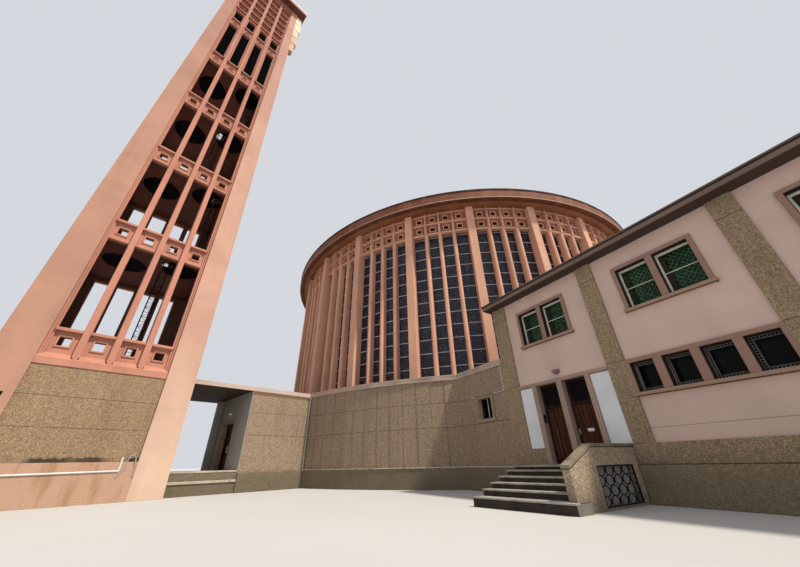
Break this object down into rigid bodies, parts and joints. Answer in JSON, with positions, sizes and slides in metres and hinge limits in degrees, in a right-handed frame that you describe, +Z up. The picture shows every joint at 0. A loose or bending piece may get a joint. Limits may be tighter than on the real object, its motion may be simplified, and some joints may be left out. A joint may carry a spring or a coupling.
{
  "type": "modern church building, scale model 1:2",
  "caption": "Round modern church with ribbed stained-glass drum, domed roof, low gallery, portico, open bell tower and two-storey presbytery with steps, as a 1:2 scale model.",
  "frame": {"origin": "the drum's axis at ground level, on the underside of the nave floor", "axes": "+Z up; -X along the portico towards the bell tower; -Y towards the side that the sun lights in the picture"},
  "size_m": [29.382, 28.7408, 24.975],
  "materials": {
    "pink_concrete": "painted concrete, matt",
    "dark_concrete": "brown-orange painted concrete, matt",
    "aggregate": "exposed pebble aggregate, rough",
    "render": "pinkish-beige render, matt",
    "grey_concrete": "plain concrete, worn",
    "roofing": "bituminous roofing, matt",
    "stained_glass": "dark mottled blue and violet glass",
    "window_glass": "clear glass over dark rooms",
    "wood": "dark brown boards, satin",
    "black_iron": "black paint"
  },
  "bodies": {
    "church": {"drum_wall_1": "pink_concrete", "drum_wall_2": "pink_concrete", "drum_wall_3": "pink_concrete", "drum_wall_4": "pink_concrete", "stained_glass_1": "stained_glass", "stained_glass_2": "stained_glass", "nave_floor": "grey_concrete", "nave_roof": "dark_concrete", "gallery_wall_1": "aggregate", "gallery_wall_2": "aggregate", "gallery_wall_3": "aggregate", "gallery_wall_4": "aggregate", "gallery_wall_5": "aggregate", "gallery_window": "stained_glass", "gallery_roof_1": "pink_concrete", "gallery_roof_2": "pink_concrete", "gallery_roof_3": "pink_concrete", "portico_roof": "pink_concrete", "portico_floor": "grey_concrete", "portico_near_wall": "aggregate", "portico_far_wall": "aggregate", "portico_door_wall_near": "grey_concrete", "portico_door_head": "grey_concrete", "tower_pier_1": "pink_concrete", "tower_pier_2": "pink_concrete", "tower_pier_3": "pink_concrete", "tower_pier_4": "pink_concrete", "tower_base": "aggregate", "tower_grid_1": "pink_concrete", "tower_grid_2": "pink_concrete", "tower_grid_3": "pink_concrete", "tower_grid_4": "pink_concrete", "tower_floor_1": "dark_concrete", "tower_floor_2": "dark_concrete", "tower_floor_3": "dark_concrete", "tower_floor_4": "dark_concrete", "tower_louvres": "black_iron", "tower_ladder": "black_iron", "tower_roof": "pink_concrete", "presbytery_front_left": "render", "presbytery_door_post": "render", "presbytery_front_lower": "render", "presbytery_front_upper": "render", "presbytery_back_wall": "render", "presbytery_ground_floor": "grey_concrete", "presbytery_upper_floor": "grey_concrete", "presbytery_roof": "roofing", "presbytery_glass_lower": "window_glass", "presbytery_glass_upper": "window_glass", "presbytery_back_glass_lower": "window_glass", "presbytery_back_glass_upper": "window_glass", "presbytery_steps": "grey_concrete", "flank_wall": "aggregate", "flank_grille": "black_iron"},
    "portico_door_near": {"portico_door_near": "wood"},
    "portico_door_far": {"portico_door_far": "wood"},
    "presbytery_door_1": {"presbytery_door_1": "wood"},
    "presbytery_door_2": {"presbytery_door_2": "wood"}
  },
  "joints": [
    {"name": "portico_door_near_hinge", "type": "hinge", "parent": "church", "child": "portico_door_near", "pos_m": [-12.76, 0.033, 1.15], "axis": [0, 0, 1], "range_deg": [-95, 0]},
    {"name": "portico_door_far_hinge", "type": "hinge", "parent": "church", "child": "portico_door_far", "pos_m": [-12.76, 0.967, 1.15], "axis": [0, 0, 1], "range_deg": [0, 95]},
    {"name": "presbytery_door_1_hinge", "type": "hinge", "parent": "church", "child": "presbytery_door_1", "pos_m": [-9.76814, -8.39704, 1.15], "axis": [0, 0, 1], "range_deg": [0, 90]},
    {"name": "presbytery_door_2_hinge", "type": "hinge", "parent": "church", "child": "presbytery_door_2", "pos_m": [-10.03256, -9.42766, 1.15], "axis": [0, 0, 1], "range_deg": [-90, 0]}
  ]
}
